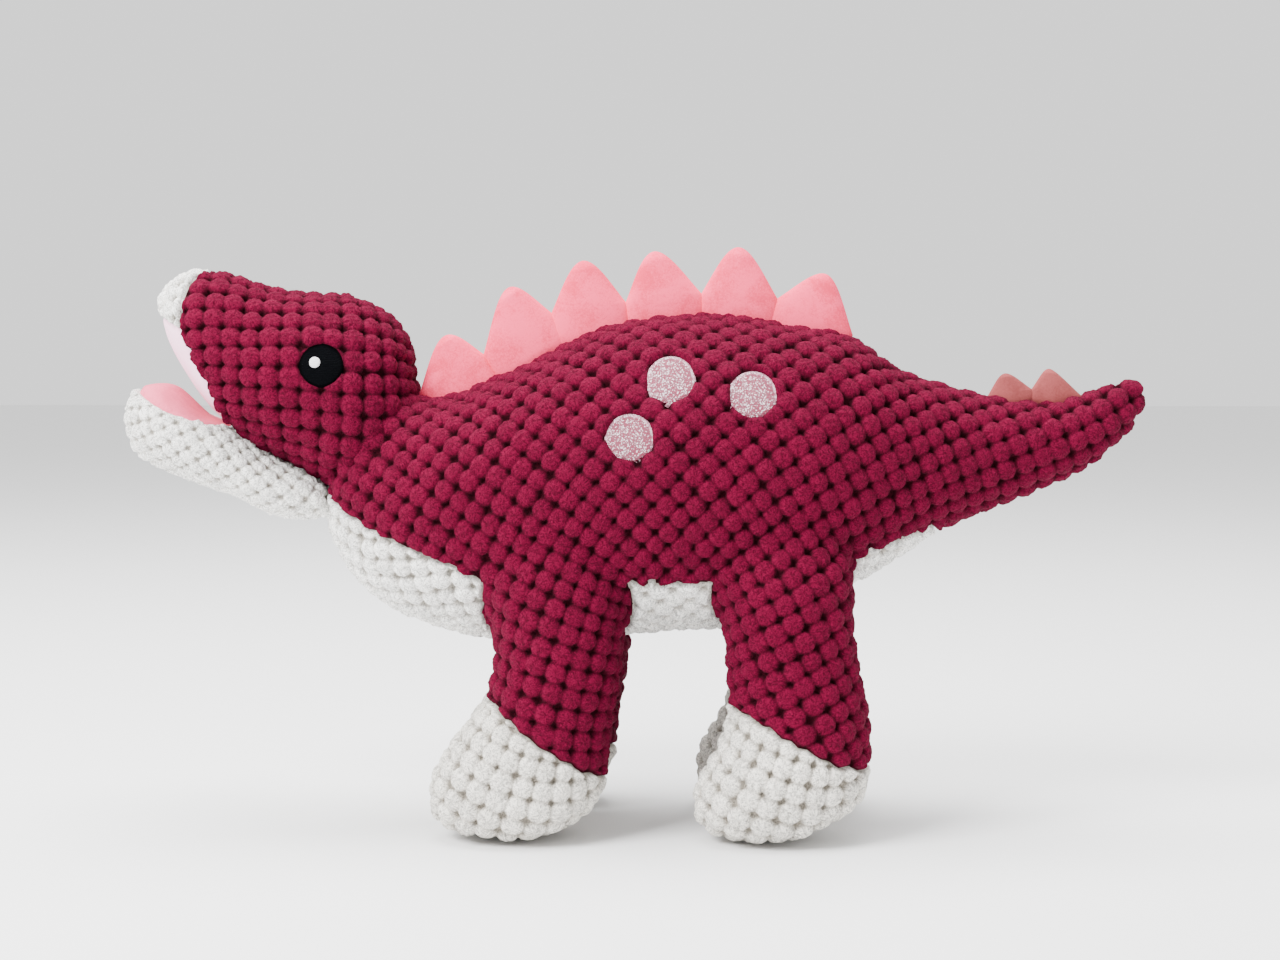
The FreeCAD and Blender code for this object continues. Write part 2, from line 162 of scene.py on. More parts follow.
REAR_LEG = [
    (51, 3.2, 22, 17, 0),
    (51, 4.5, 26, 20, 0),
    (51.5, 9, 29.4, 23, 0),
    (52.3, 18, 30.6, 24, 0),
    (56.5, 32, 27.2, 23.5, 0),
    (58, 46, 24.4, 22, 0),
    (56, 60, 23, 21.3, 0),
    (54, 76, 23.5, 21, 0),
    (53, 92, 24, 19, 0),
    (52, 108, 18, 13, 0),
]
LEG_Y = 29.5


def inside_pile(stations, amount=PILE):
    """The same stations, smaller by the height of the pile."""
    return [(x, z, reach - amount, side - amount, lean) for x, z, reach, side, lean in stations]


tubes = [soft_tube("trunk", inside_pile(TRUNK), around=64, step=3.0, square=2.1)]
for stations in (FRONT_LEG, REAR_LEG):
    for sign in (-1, 1):
        tubes.append(soft_tube("leg", inside_pile(stations), middle_y=sign * LEG_Y, square=2.15))
body = one_bag("body_cloth", tubes, 2.8, 6)
for vert in body.data.vertices:
    x, _, z = vert.co / MM
    if z < 34:
        rise = np.interp(x, [-38, -28, -18, -9, 0], [0, 1.5, 5.5, 9, 10]) if x < 12 else np.interp(
            x, [51, 59, 68, 76, 86], [0, 1.5, 5, 8.5, 11]
        )
        vert.co.z = (z + rise * (1 - z / 34)) * MM


def skin_of(piece):
    """The smooth cloth surface, kept to lay embroidery on."""
    mesh = piece.data
    return BVHTree.FromPolygons([v.co.copy() for v in mesh.vertices], [f.vertices[:] for f in mesh.polygons])


body_skin = skin_of(body)


def cut_seam(bm, level, where=lambda p: True):
    """Split the faces along the line where level(point in mm) is zero, moving close corners onto it."""
    value = {v: level(v.co / MM) if where(v.co / MM) else None for v in bm.verts}
    moves = {}
    for v in bm.verts:
        a = value[v]
        if a is None:
            continue
        best = 0.32
        for e in v.link_edges:
            b = value[e.other_vert(v)]
            if b is not None and a * b < 0 and a / (a - b) < best:
                best = a / (a - b)
                moves[v] = v.co.lerp(e.other_vert(v).co, best)
    for v, spot in moves.items():
        v.co = spot
        value[v] = 0.0
    for e in list(bm.edges):
        a, b = value[e.verts[0]], value[e.verts[1]]
        if a is not None and b is not None and a * b < 0:
            new_vert = bmesh.utils.edge_split(e, e.verts[0], a / (a - b))[1]
            value[new_vert] = 0.0
    for face in list(bm.faces):
        on_line = [v for v in face.verts if value.get(v) == 0.0]
        if len(on_line) == 2 and not bm.edges.get(on_line):
            bmesh.utils.face_split(face, on_line[0], on_line[1])


# Where the sewing lines run, in mm.
def polyline(points):
    """A height read off a row of (x, z) points, scalloped where bobbles crowd over the seam."""
    xs, zs = zip(*points)
    return lambda x: float(np.interp(x, xs, zs)) + 0.7 * math.sin(x * 0.93)


belly_height = polyline(
    [(-114, 127), (-108, 122.5), (-101, 113), (-90, 106.5), (-80, 102), (-70, 98), (-57, 93),
     (-48, 88), (-35, 88), (0, 88.5), (30, 88.5), (60, 88.5), (73, 92), (79, 97.5), (92, 102.5),
     (104, 106.5), (108, 104), (112, 99)]
)


def leg_middle(p):
    """Middle line of the nearest leg at the height of the point."""
    rows = FRONT_LEG if p[0] < 15 else REAR_LEG
    return float(np.interp(p[2], [r[1] for r in rows], [r[0] for r in rows]))


def in_leg(p):
    """Below zero inside the oval column of a leg, above zero outside it."""
    across = (p[0] - leg_middle(p)) / 25.5
    side = (abs(p[1]) - LEG_Y) / 23.5
    return (math.hypot(across, side) - 1) * 24 if p[2] > 50 else -5.0


def foot_height(x):
    """The white foot's upper seam, lower at the heel and scalloped where bobbles crowd over it."""
    scallop = 0.7 * math.sin(x * 0.95)
    if x < 15:
        return scallop + float(np.interp(x, [-52, -44, -30, -6, 0], [50, 47, 36, 20, 18]))
    return scallop + float(np.interp(x, [28, 36, 50, 70, 84], [48, 47, 40, 29, 25]))


bm = bmesh.new()
bm.from_mesh(body.data)
low = lambda p: p[2] < 96
legs_only = lambda p: p[2] < 92 and in_leg(p) < 3
cut_seam(bm, lambda p: p[1])
cut_seam(bm, lambda p: p[2] - belly_height(p[0]))
cut_seam(bm, in_leg, low)
cut_seam(bm, lambda p: abs(p[1]) - LEG_Y, legs_only)
cut_seam(bm, lambda p: p[2] - foot_height(p[0]), lambda p: p[2] < 60)

# Panels: 0 flanks, 1 belly, 2 inner leg, 3 outer foot, 4 inner foot.  The sign of Y tells the side.
bm.faces.ensure_lookup_table()
panel_layer = bm.faces.layers.int.new("panel")


def body_panel(p):
    """Which cloth panel a point of the body belongs to."""
    leg = in_leg(p) < 0
    if p[2] > belly_height(p[0]) + 0.01:
        return 0
    if not leg:
        return 1
    outer = abs(p[1]) > LEG_Y
    if p[2] < foot_height(p[0]) and p[2] < 60:
        return 3 if outer else 4
    return 0 if outer else 2


for face in bm.faces:
    p = face.calc_center_median() / MM
    side = 0 if p[1] < 0 else 10
    leg_name = 0 if p[0] < 15 else 20
    kind = body_panel(p)
    face[panel_layer] = kind + (side if kind != 1 else 0) + (leg_name if kind > 1 else 0)
for e in bm.edges:
    kinds = {f[panel_layer] for f in e.link_faces}
    e.seam = len(kinds) > 1
bm.to_mesh(body.data)
bm.free()


def unwrap_panels(piece):
    """Flatten every sewn panel with as little stretch as the cloth has."""
    only(piece)
    if not piece.data.uv_layers:
        piece.data.uv_layers.new(name="cloth")
    bpy.ops.object.mode_set(mode="EDIT")
    bpy.ops.mesh.select_all(action="SELECT")
    bpy.ops.uv.unwrap(method="MINIMUM_STRETCH", fill_holes=False, iterations=12)
    bpy.ops.object.mode_set(mode="OBJECT")


PITCH = 6.8  # mm from bobble to bobble


def lay_cloth(piece, turns, pitch=PITCH):
    """Scale and turn every flattened panel so that one unit is one bobble.

    turns: panel number -> (direction in the row frame that runs along the cloth, its angle)."""
    mesh = piece.data
    panel = np.array([a.value for a in mesh.attributes["panel"].data])
    corner = np.zeros(len(mesh.loops) * 2)
    mesh.uv_layers["cloth"].data.foreach_get("uv", corner)
    corner = corner.reshape(-1, 2)
    place = np.zeros(len(mesh.vertices) * 3)
    mesh.vertices.foreach_get("co", place)
    place = place.reshape(-1, 3) / MM
    loop_vert = np.zeros(len(mesh.loops), dtype=int)
    mesh.loops.foreach_get("vertex_index", loop_vert)
    starts = np.array([f.loop_start for f in mesh.polygons])
    totals = np.array([f.loop_total for f in mesh.polygons])
    loop_panel = np.repeat(panel, totals)
    area_3d = np.array([f.area for f in mesh.polygons]) / MM**2
    nxt = np.arange(len(mesh.loops)) + 1
    nxt[starts + totals - 1] = starts
    cross = corner[:, 0] * corner[nxt, 1] - corner[nxt, 0] * corner[:, 1]
    area_uv = np.abs(np.add.reduceat(cross, starts)) / 2
    for number in np.unique(panel):
        rows = loop_panel == number
        uv = corner[rows]
        uv = uv - uv.mean(axis=0)
        uv *= math.sqrt(area_3d[panel == number].sum() / area_uv[panel == number].sum())
        direction, angle = turns(number)
        spot = place[loop_vert[rows]]
        along = (spot - spot.mean(axis=0)) @ np.array(direction)
        slope = np.linalg.lstsq(uv, along, rcond=None)[0]
        spin = math.radians(angle) - math.atan2(slope[1], slope[0])
        turn = np.array([[math.cos(spin), math.sin(spin)], [-math.sin(spin), math.cos(spin)]])
        corner[rows] = uv @ turn / pitch
    mesh.uv_layers["cloth"].data.foreach_set("uv", corner.ravel())


def body_cloth_turn(number):
    """Flanks and legs are cut on the bias, belly and feet along the rows."""
    kind = number % 10
    if kind == 0:
        return (1, 0, 0), 45
    if kind == 1:
        return (1, 0, 0), 45
    if kind == 2:
        return (0, 0, 1), 45
    return (0.25, 0, 1), 90


def cell_noise(i, j, salt):
    """An even random number for each bobble, the same at every run."""
    value = np.sin(i * 127.1 + j * 311.7 + salt * 74.7) * 43758.5453
    return value - np.floor(value)


def bobble_height(u, v, salt, round_size=0.60, jitter=0.14):
    """Height of the cloth, 0 in the holes and 1 on the tops, and each bobble's own number."""
    best = np.zeros(len(u))
    own = np.zeros(len(u))
    ci, cj = np.round(u), np.round(v)
    for di in (-1, 0, 1):
        for dj in (-1, 0, 1):
            i, j = ci + di, cj + dj
            mu = i + (cell_noise(i, j, salt) - 0.5) * jitter
            mv = j + (cell_noise(i, j, salt + 3) - 0.5) * jitter
            size = round_size * (0.95 + 0.1 * cell_noise(i, j, salt + 5))
            tall = 0.84 + 0.16 * cell_noise(i, j, salt + 9)
            far = np.hypot(u - mu, v - mv) / size
            dome = tall * np.power(np.clip(1 - far**2.3, 0, 1), 1 / 2.3)
            better = dome > best
            best = np.where(better, dome, best)
            own = np.where(better, cell_noise(i, j, salt + 11), own)
    return best, own


def vertex_table(mesh):
    """Places in mm, normals, cloth coordinates and panel of every vertex, and the seam distance."""
    count = len(mesh.vertices)
    place = np.zeros(count * 3)
    mesh.vertices.foreach_get("co", place)
    place = place.reshape(-1, 3) / MM
    normal = np.zeros(count * 3)
    mesh.vertices.foreach_get("normal", normal)
    normal = normal.reshape(-1, 3)
    loop_vert = np.zeros(len(mesh.loops), dtype=int)
    mesh.loops.foreach_get("vertex_index", loop_vert)
    corner = np.zeros(len(mesh.loops) * 2)
    mesh.uv_layers["cloth"].data.foreach_get("uv", corner)
    corner = corner.reshape(-1, 2)
    panel = np.zeros(len(mesh.polygons), dtype=np.int32)
    mesh.attributes["panel"].data.foreach_get("value", panel)
    totals = np.zeros(len(mesh.polygons), dtype=int)
    mesh.polygons.foreach_get("loop_total", totals)
    loop_panel = np.repeat(panel, totals)
    cloth = np.zeros((count, 2))
    cloth[loop_vert] = corner
    lowest = np.full(count, 999)
    highest = np.full(count, -999)
    np.minimum.at(lowest, loop_vert, loop_panel)
    np.maximum.at(highest, loop_vert, loop_panel)
    edges = np.zeros(len(mesh.edges) * 2, dtype=int)
    mesh.edges.foreach_get("vertices", edges)
    a, b = edges.reshape(-1, 2).T
    length = np.linalg.norm(place[a] - place[b], axis=1)
    seam = np.where(lowest != highest, 0.0, 99.0)
    for _ in range(7):
        np.minimum.at(seam, a, seam[b] + length)
        np.minimum.at(seam, b, seam[a] + length)
    return {"place": place, "normal": normal, "cloth": cloth, "panel": highest, "seam": seam,
            "loop_vert": loop_vert, "corner": corner, "face_panel": panel, "totals": totals}


def smooth_step(x):
    """0 below 0, 1 above 1, with a soft start and end."""
    x = np.clip(x, 0, 1)
    return x * x * (3 - 2 * x)


def finer(piece, levels):
    """Divide every square of the cloth, so that a bobble has enough of them."""
    only(piece)
    more = piece.modifiers.new("finer", "SUBSURF")
    more.levels = more.render_levels = levels
    more.uv_smooth = "NONE"
    bpy.ops.object.modifier_apply(modifier=more.name)


def raise_bobbles(mesh, height, flat_places, salt, bobbled=lambda panel: panel >= 0, sink=1.0):
    """Push the pile out along the cloth's normals and keep the numbers that the colour reads."""
    rows = vertex_table(mesh)
    place, normal, seam = rows["place"], rows["normal"], rows["seam"]
    high, own = bobble_height(rows["cloth"][:, 0], rows["cloth"][:, 1], salt + rows["panel"])
    rolls = np.sin(place[:, 0] * 0.11 + 1) * np.sin(place[:, 2] * 0.13 + place[:, 1] * 0.07)
    crumple = np.zeros(len(place))
    waves = ((2.9, 1.7, 0.6), (-1.3, 2.6, 1.9), (0.8, -2.2, 2.7), (2.2, 2.0, -2.4))
    for number, (a, b, c) in enumerate(waves):
        crumple += np.sin(place @ np.array([a, b, c]) * 1.15 + 6.3 * own + number)
    out = high * height - sink + 0.45 * rolls + 0.11 * crumple * high
    near = smooth_step(seam / 1.5 + 0.15)
    out = -sink * 0.8 + (out + sink * 0.8) * near
    pressed = np.zeros(len(place))
    for (x, z), radius, side in flat_places:
        far = np.hypot(place[:, 0] - x, place[:, 2] - z)
        mask = smooth_step((radius + 1.2 - far) / 1.8) * (place[:, 1] * side > 6)
        pressed = np.maximum(pressed, mask)
    out = out * (1 - pressed) - 0.4 * pressed
    plain = ~bobbled(rows["panel"])
    out = np.where(plain, 0.9 * (1 - smooth_step(1 - seam / 3)) - 0.9, out)
    place += normal * out[:, None]
    mesh.vertices.foreach_set("co", (place * MM).ravel())
    mesh.update()
    # The pile kept here also drives the painted shade: it is lower in the holes, near the seams and under
    # the embroidery, so the colour is painted darker there.
    rows["pile"] = np.where(plain, 1.0, high * (0.3 + 0.7 * near) * (1 - 0.5 * pressed))
    rows["own"] = own
    return rows


def split_pieces(name, mesh, rows, key_of, keep_at_least=12):
    """Make one object of the faces that share a key, with the whole cloth's normals."""
    normal = np.zeros(len(mesh.vertices) * 3)
    mesh.vertices.foreach_get("normal", normal)
    normal = normal.reshape(-1, 3)
    starts = np.concatenate([[0], np.cumsum(rows["totals"])[:-1]])
    middle = np.add.reduceat(rows["place"][rows["loop_vert"]], starts, axis=0)
    middle /= rows["totals"][:, None]
    keys = key_of(middle, rows["face_panel"])
    pieces = {}
    for key in sorted(set(keys)):
        faces = np.nonzero(keys == key)[0]
        if key == "" or len(faces) < keep_at_least:
            continue
        loops = np.concatenate([np.arange(starts[f], starts[f] + rows["totals"][f]) for f in faces])
        used, again = np.unique(rows["loop_vert"][loops], return_inverse=True)
        new = bpy.data.meshes.new(key)
        new.vertices.add(len(used))
        new.vertices.foreach_set("co", (rows["place"][used] * MM).ravel())
        new.loops.add(len(loops))
        new.loops.foreach_set("vertex_index", again)
        sizes = rows["totals"][faces]
        new.polygons.add(len(faces))
        new.polygons.foreach_set("loop_start", np.concatenate([[0], np.cumsum(sizes)[:-1]]))
        new.update(calc_edges=True)
        new.shade_smooth()
        layer = new.uv_layers.new(name="cloth")
        layer.data.foreach_set("uv", rows["corner"][loops].ravel())
        for word in ("pile", "own"):
            kept = new.attributes.new(word, "FLOAT", "POINT")
            kept.data.foreach_set("value", rows[word][used].astype(np.float32))
        new.validate()
        new.normals_split_custom_set_from_vertices(normal[used])
        piece = bpy.data.objects.new(key, new)
        bpy.context.collection.objects.link(piece)
        pieces[key] = piece
    return pieces


unwrap_panels(body)
lay_cloth(body, body_cloth_turn)
finer(body, 2)
SPOTS = (((14.7, 156), 7.5), ((42, 151), 7.5), ((1.4, 137), 7.5))
flat_places = [((x, z + 1.0), radius, side) for (x, z), radius in SPOTS for side in (-1, 1)]
body_rows = raise_bobbles(body.data, 3.4, flat_places, 1)


def neck_way(p):
    """How far a point lies past the neck seam, towards the head, in mm."""
    return -0.707 * (p[:, 0] + 92) + 0.707 * (p[:, 2] - 136.5)


def body_key(p, panel):
    """Which piece each face belongs to: its colour, and the body that it moves with."""
    side = np.where(panel % 20 >= 10, "right", "left")
    kind = panel % 10
    leg = np.where(p[:, 0] < 15, "front_leg_", "rear_leg_")
    across = np.array([in_leg(q) for q in p]) < 0
    on_leg = (kind > 1) | ((kind == 0) & across & (p[:, 2] < 78))
    colour = np.where(kind >= 3, "_foot_cloth", "_cloth")
    key = np.where(kind == 1, "belly_cloth", np.char.add("flank_cloth_", side))
    neck = neck_way(p) > -27
    key = np.where(neck, np.where(kind == 1, "throat_cloth", np.char.add("neck_cloth_", side)), key)
    root = p[:, 0] > 84
    key = np.where(
        root, np.where(kind == 1, "under_tail_cloth", np.char.add("tail_root_cloth_", side)), key
    )
    key = np.where(p[:, 0] > 110, np.char.add("tail_end_cloth_", side), key)
    leg_key = np.char.add(np.char.add(leg, side), colour)
    return np.where(on_leg, leg_key, key)


body_pieces = split_pieces("body", body.data, body_rows, body_key)
bpy.data.objects.remove(body)


def group_of(name, inputs, outputs):
    """A new shader group with named inputs and outputs: (name, kind, default)."""
    group = bpy.data.node_groups.new(name, "ShaderNodeTree")
    for word, kind, default in inputs:
        socket = group.interface.new_socket(word, in_out="INPUT", socket_type=kind)
        socket.default_value = default
    for word, kind in outputs:
        group.interface.new_socket(word, in_out="OUTPUT", socket_type=kind)
    start = group.nodes.new("NodeGroupInput")
    end = group.nodes.new("NodeGroupOutput")
    return group, start, end


def mixed(group, blend, factor, a, b):
    """A colour mix node with its inputs linked or set; returns the mixed colour."""
    node = group.nodes.new("ShaderNodeMix")
    node.data_type = "RGBA"
    node.blend_type = blend
    for index, value in ((0, factor), (6, a), (7, b)):
        if hasattr(value, "is_linked"):
            group.links.new(value, node.inputs[index])
        else:
            node.inputs[index].default_value = value
    return node.outputs[2]


def worked(group, operation, *values, clamp=False):
    """A maths node with its inputs linked or set; returns the value."""
    node = group.nodes.new("ShaderNodeMath")
    node.operation = operation
    node.use_clamp = clamp
    for index, value in enumerate(values):
        if hasattr(value, "is_linked"):
            group.links.new(value, node.inputs[index])
        else:
            node.inputs[index].default_value = value
    return node.outputs[0]


def noise_of(group, where, scale, detail=2.0, rough=0.5, distort=0.0):
    """A noise value read at a place."""
    node = group.nodes.new("ShaderNodeTexNoise")
    node.inputs["Scale"].default_value = scale
    node.inputs["Detail"].default_value = detail
    node.inputs["Roughness"].default_value = rough
    node.inputs["Distortion"].default_value = distort
    group.links.new(where, node.inputs["Vector"])
    return node.outputs["Fac"]


def ranged(group, value, low, high, to_low=0.0, to_high=1.0):
    """A value stretched from one range to another, smoothly."""
    node = group.nodes.new("ShaderNodeMapRange")
    node.interpolation_type = "SMOOTHSTEP"
    for index, amount in enumerate((value, low, high, to_low, to_high)):
        if hasattr(amount, "is_linked"):
            group.links.new(amount, node.inputs[index])
        else:
            node.inputs[index].default_value = amount
    return node.outputs[0]


# Bobble chenille: loops of soft yarn tufted into round bobbles, with painted shade darkening the
# holes between them and a painted sheen lightening the fibre tips on their tops.
chenille, start, end = group_of(
    "bobble chenille",
    [("Place", "NodeSocketVector", (0, 0, 0)), ("Cloth", "NodeSocketVector", (0, 0, 0)),
     ("Pile", "NodeSocketFloat", 1.0),
     ("Own", "NodeSocketFloat", 0.5), ("Lit", "NodeSocketColor", (0.5, 0.1, 0.1, 1)),
     ("Painted hole shade", "NodeSocketColor", (0.1, 0.0, 0.0, 1)), ("Sheen tip", "NodeSocketColor", (1, 1, 1, 1))],
    [("Colour", "NodeSocketColor"), ("Roughness", "NodeSocketFloat"), ("Height", "NodeSocketFloat")],
)
place = start.outputs["Place"]
cloth_uv = chenille.nodes.new("ShaderNodeSeparateXYZ")
chenille.links.new(start.outputs["Cloth"], cloth_uv.inputs[0])
from_middle = [
    worked(chenille, "SUBTRACT", worked(chenille, "FRACT", worked(chenille, "ADD", out, 0.5)), 0.5)
    for out in cloth_uv.outputs[:2]
]
fan = chenille.nodes.new("ShaderNodeCombineXYZ")
chenille.links.new(
    worked(chenille, "MULTIPLY", worked(chenille, "ARCTAN2", from_middle[1], from_middle[0]), 2.6),
    fan.inputs[0],
)
away = worked(
    chenille, "SQRT",
    worked(chenille, "ADD", worked(chenille, "MULTIPLY", from_middle[0], from_middle[0]),
           worked(chenille, "MULTIPLY", from_middle[1], from_middle[1])),
)
chenille.links.new(worked(chenille, "MULTIPLY", away, 3.2), fan.inputs[1])
chenille.links.new(worked(chenille, "MULTIPLY", start.outputs["Own"], 60.0), fan.inputs[2])
loops = noise_of(chenille, fan.outputs[0], 1.15, 3.0, 0.6, 0.9)
curls = noise_of(chenille, place, 1250, 3.0, 0.65, 1.4)
tufts = worked(
    chenille, "ADD", worked(chenille, "MULTIPLY", loops, 0.5), worked(chenille, "MULTIPLY", curls, 0.5)
)
fibre = noise_of(chenille, place, 2100, 2.0, 0.7)
patch = noise_of(chenille, place, 38, 2.0, 0.5)
tone = worked(chenille, "ADD", worked(chenille, "MULTIPLY", tufts, 0.75),
              worked(chenille, "MULTIPLY", fibre, 0.25))
# Painted shade: the colour runs from the lit colour on the bobble tops to a darker shaded colour in the
# holes between them, following the pile height.
lit_tops = ranged(chenille, start.outputs["Pile"], 0.12, 0.82)
colour = mixed(chenille, "MIX", lit_tops, start.outputs["Painted hole shade"], start.outputs["Lit"])
own_shade = worked(chenille, "ADD", 0.90, worked(chenille, "MULTIPLY", start.outputs["Own"], 0.14))
patch_shade = worked(chenille, "ADD", 0.92, worked(chenille, "MULTIPLY", patch, 0.16))
tuft_shade = ranged(chenille, tone, 0.40, 0.57, 0.42, 1.22)
shade = worked(chenille, "MULTIPLY", worked(chenille, "MULTIPLY", own_shade, patch_shade), tuft_shade)
grey = chenille.nodes.new("ShaderNodeCombineColor")
for index in range(3):
    chenille.links.new(shade, grey.inputs[index])
colour = mixed(chenille, "MULTIPLY", 1.0, colour, grey.outputs[0])
# Painted sheen: paler fibre tips, laid only on the lit bobble tops.
sheen_tips = worked(chenille, "MULTIPLY", ranged(chenille, fibre, 0.60, 0.76), lit_tops)
sheen_tips = worked(chenille, "MULTIPLY", sheen_tips, 0.30)
colour = mixed(chenille, "MIX", sheen_tips, colour, start.outputs["Sheen tip"])
chenille.links.new(colour, end.inputs["Colour"])
chenille.links.new(ranged(chenille, tone, 0.3, 0.7, 0.95, 0.78), end.inputs["Roughness"])
height = worked(chenille, "ADD", worked(chenille, "MULTIPLY", tufts, 0.8),
                worked(chenille, "MULTIPLY", fibre, 0.35))
chenille.links.new(height, end.inputs["Height"])


def attribute(tree, name):
    """A number kept on the cloth's own points."""
    node = tree.nodes.new("ShaderNodeAttribute")
    node.attribute_name = name
    return node.outputs["Fac"]


def bobble_material(name, lit, deep, tip, sheen, sheen_tint, bump=0.85):
    """Bobble chenille of one dye, with painted shade in the holes and a painted sheen on the tips."""
    material = bpy.data.materials.new(name)
    material.use_nodes = True
    tree = material.node_tree
    shader = tree.nodes["Principled BSDF"]
    where = tree.nodes.new("ShaderNodeTexCoord")
    cloth = tree.nodes.new("ShaderNodeGroup")
    cloth.node_tree = chenille
    tree.links.new(where.outputs["Object"], cloth.inputs["Place"])
    rows = tree.nodes.new("ShaderNodeUVMap")
    rows.uv_map = "cloth"
    tree.links.new(rows.outputs["UV"], cloth.inputs["Cloth"])
    tree.links.new(attribute(tree, "pile"), cloth.inputs["Pile"])
    tree.links.new(attribute(tree, "own"), cloth.inputs["Own"])
    cloth.inputs["Lit"].default_value = (*lit, 1)
    cloth.inputs["Painted hole shade"].default_value = (*deep, 1)
    cloth.inputs["Sheen tip"].default_value = (*tip, 1)
    tree.links.new(cloth.outputs["Colour"], shader.inputs["Base Color"])
    tree.links.new(cloth.outputs["Roughness"], shader.inputs["Roughness"])
    knit = tree.nodes.new("ShaderNodeBump")
    knit.inputs["Strength"].default_value = bump
    knit.inputs["Distance"].default_value = 0.0018
    tree.links.new(cloth.outputs["Height"], knit.inputs["Height"])
    tree.links.new(knit.outputs["Normal"], shader.inputs["Normal"])
    shader.inputs["Specular IOR Level"].default_value = 0.08
    shader.inputs["Sheen Weight"].default_value = sheen
    shader.inputs["Sheen Roughness"].default_value = 0.45
    shader.inputs["Sheen Tint"].default_value = (*sheen_tint, 1)
    return material


# Each dye: a lit colour for the bobble tops, a darker painted-shade colour for the holes and a paler
# painted-sheen colour for the fibre tips.
magenta = bobble_material(
    "magenta bobbles", (0.118, 0.0002, 0.0195), (0.026, 0.0001, 0.0035), (0.30, 0.007, 0.07), 0.03,
    (1.0, 0.15, 0.35),
)
white = bobble_material(
    "white bobbles", (0.93, 0.915, 0.875), (0.52, 0.48, 0.42), (0.98, 0.98, 0.96), 0.05,
    (1.0, 1.0, 1.0), 0.7,
)
# The feet are the belly's white cloth, painted darker and warmer here: painted shade from the body above,
# which keeps the lamps off the feet.
shaded_foot_white = bobble_material(
    "shaded white foot bobbles", (0.80, 0.765, 0.70), (0.40, 0.36, 0.30), (0.94, 0.92, 0.88), 0.05,
    (1.0, 1.0, 1.0), 0.7,
)
for key, piece in body_pieces.items():
    pale = "foot" in key or key in ("belly_cloth", "throat_cloth", "under_tail_cloth")
    piece.data.materials.append(shaded_foot_white if "foot" in key else white if pale else magenta)

for key, piece in body_pieces.items():
    words = key.split("_")
    if "leg" in words:
        leg = "_".join(words[:3])
        x = -24 if words[0] == "front" else 54
        y = -LEG_Y if words[2] == "left" else LEG_Y
        if "foot" in words:
            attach(piece, leg)
        else:
            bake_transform(piece)
    elif key.startswith(("neck", "throat")):
        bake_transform(piece)
    elif "root" in words or key == "under_tail_cloth":
        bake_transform(piece)
    elif "end" in words:
        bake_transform(piece)
    else:
        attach(piece, "torso")

for piece_name, nodes in {
    "flank_cloth_left": ["side_panel_left", "torso_stuffing"],
    "flank_cloth_right": ["side_panel_right"],
    "belly_cloth": ["belly_panel"],
    "throat_cloth": ["neck_stuffing"],
    "tail_root_cloth_left": ["tail_base_left", "tail_base_stuffing"],
    "tail_root_cloth_right": ["tail_base_right"],
    "tail_end_cloth_left": ["tail_tip_left", "tail_tip_stuffing"],
    "tail_end_cloth_right": ["tail_tip_right"],
}.items():
    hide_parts(*nodes)
for leg in ("front_leg_left", "front_leg_right", "rear_leg_left", "rear_leg_right"):
    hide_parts(leg + "_outer", leg + "_inner", leg + "_stuffing")
    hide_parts(leg + "_foot")

# ======================================================================== head
# A second, smaller bag: two magenta side panels meet on top of the head, a white patch covers the
# nose and a smooth pale lining covers the roof of the open mouth.  Its rear end is sewn into the
# neck.

HEAD = [
    (-86, 131, 21, 22, 45),
    (-91.75, 136.5, 24.2, 26, 45),
    (-100, 149, 31.4, 29.5, 48.4),
    (-118, 160.2, 32.4, 31, 55.5),
    (-127.5, 162.6, 28.8, 29.6, 61),
    (-136, 165, 26.4, 27.4, 66.6),
    (-151.5, 175.5, 20.8, 22, 71.6),
    (-162, 183.5, 12, 13, 69),
    (-167, 186, 3.5, 3.5, 66),
]
head = one_bag("head_cloth", [soft_tube("head", inside_pile(HEAD), around=48, step=3.0)], 2.4, 4)
head_skin = skin_of(head)
lip_line = lambda z: float(np.interp(
    z, [120, 135, 138.7, 147.6, 157.1, 164.9, 174.4, 186, 191, 194.5, 200],
    [-129, -134.5, -138.4, -143.4, -147.4, -152, -155.8, -155, -152.8, -148.5, -142],
))
nose_edge = lambda p: p[2] - (173.8 - 0.546 * (p[0] + 156))


def cut_panels(piece, cuts, panel_of):
    """Cut the sewing lines into a bag and number its panels."""
    bm = bmesh.new()
    bm.from_mesh(piece.data)
    for cut in cuts:
        cut_seam(bm, *cut)
    layer = bm.faces.layers.int.new("panel")
    for face in bm.faces:
        face[layer] = panel_of(face.calc_center_median() / MM)
    for edge in bm.edges:
        edge.seam = len({f[layer] for f in edge.link_faces}) > 1
    bm.to_mesh(piece.data)
    bm.free()


def head_panel(p):
    """0 magenta side, 1 roof of the mouth, 2 white nose; 10 more on the right."""
    if p[0] > lip_line(p[2]):
        return 0 if p[1] < 0 else 10
    return 2 if nose_edge(p) > 0 else 1


cut_panels(
    head,
    [(lambda p: p[0] - lip_line(p[2]),), (nose_edge, lambda p: p[0] < lip_line(p[2]) + 0.5),
     (lambda p: p[1], lambda p: p[0] > lip_line(p[2]) - 0.5)],
    head_panel,
)
unwrap_panels(head)
lay_cloth(head, lambda number: ((1, 0, 0), 0 if number % 10 == 0 else 45))
finer(head, 2)
EYE = ((-104.8, 161.4), 6.9)
head_rows = raise_bobbles(
    head.data, 3.4, [(*EYE, -1), (*EYE, 1)], 40, lambda panel: panel % 10 != 1, 1.0
)
head_names = np.array(["face_cloth_left", "palate_lining_plush", "nose_cloth", "face_cloth_right"])
head_pieces = split_pieces(
    "head", head.data, head_rows, lambda p, panel: head_names[np.where(panel == 10, 3, panel)]
)
bpy.data.objects.remove(head)
HEAD_NODES = {
    "face_cloth_left": (magenta, "magenta_bobble", ["head_side_left", "head_stuffing"]),
    "face_cloth_right": (magenta, "magenta_bobble", ["head_side_right"]),
    "nose_cloth": (white, "white_bobble", ["muzzle_patch"]),
}

